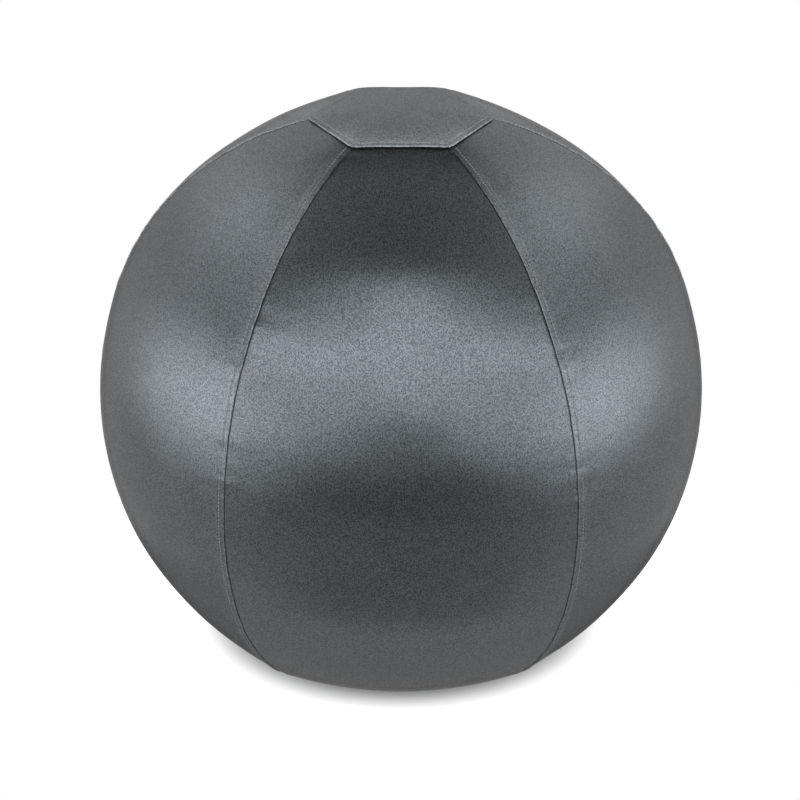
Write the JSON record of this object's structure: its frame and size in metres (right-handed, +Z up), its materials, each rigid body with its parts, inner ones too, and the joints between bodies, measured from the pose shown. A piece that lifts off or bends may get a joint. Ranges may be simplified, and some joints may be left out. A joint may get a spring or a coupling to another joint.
{
  "type": "sitting ball",
  "caption": "Round sitting ball: satin-sheen grey fabric cover of sewn gores with a hexagonal top cap and flat base, zipped over an inflated inner ball.",
  "frame": {"origin": "middle of the base panel's underside, on the floor", "axes": "+Z up through the middle of the cap; -Y towards the front gore; +X towards the right seen from the front"},
  "size_m": [0.651, 0.6488, 0.6401],
  "materials": {
    "cover_fabric": "charcoal grey woven fabric with a satin sheen and fine speckle",
    "thread": "dark grey polyester thread",
    "zip_tape": "dark grey woven tape",
    "zip_teeth": "dark grey nylon",
    "zip_metal": "gunmetal",
    "ball_vinyl": "matt grey vinyl",
    "plug_plastic": "off-white"
  },
  "bodies": {
    "ball": {"gore_front": "cover_fabric", "gore_front_right": "cover_fabric", "gore_back_right": "cover_fabric", "gore_back": "cover_fabric", "gore_back_left": "cover_fabric", "gore_front_left": "cover_fabric", "cap_panel": "cover_fabric", "base_panel": "cover_fabric", "topstitch_gore_front_right_near": "thread", "topstitch_gore_back_right_near": "thread", "topstitch_gore_back_near": "thread", "topstitch_gore_back_far": "thread", "topstitch_gore_back_left_far": "thread", "topstitch_gore_front_left_far": "thread", "topstitch_zip": "thread", "topstitch_cap": "thread", "zip_tape_right": "zip_tape", "zip_tape_back": "zip_tape", "zip_teeth_right": "zip_teeth", "zip_teeth_back": "zip_teeth", "zip_top_stop": "zip_metal", "zip_bottom_stop": "zip_metal", "inner_ball": "ball_vinyl", "valve_bush": "ball_vinyl"},
    "slider": {"zip_slider": "zip_metal"},
    "pull": {"zip_pull": "zip_metal"},
    "plug": {"valve_plug": "plug_plastic"}
  },
  "joints": [
    {"name": "zip_travel", "type": "hinge", "parent": "ball", "child": "slider", "pos_m": [0.00608, 0.01053, 0.30299], "axis": [-0.866, 0.5, 0], "range_deg": [0, 54.7]},
    {"name": "pull_swing", "type": "hinge", "parent": "slider", "child": "pull", "pos_m": [0.16289, 0.28214, 0.28068], "axis": [0.866, -0.5, 0], "range_deg": [-7, 150]},
    {"name": "plug_ease", "type": "slide", "parent": "ball", "child": "plug", "axis": [0.424, 0.7344, -0.5299], "range_m": [0, 0.0035]}
  ]
}
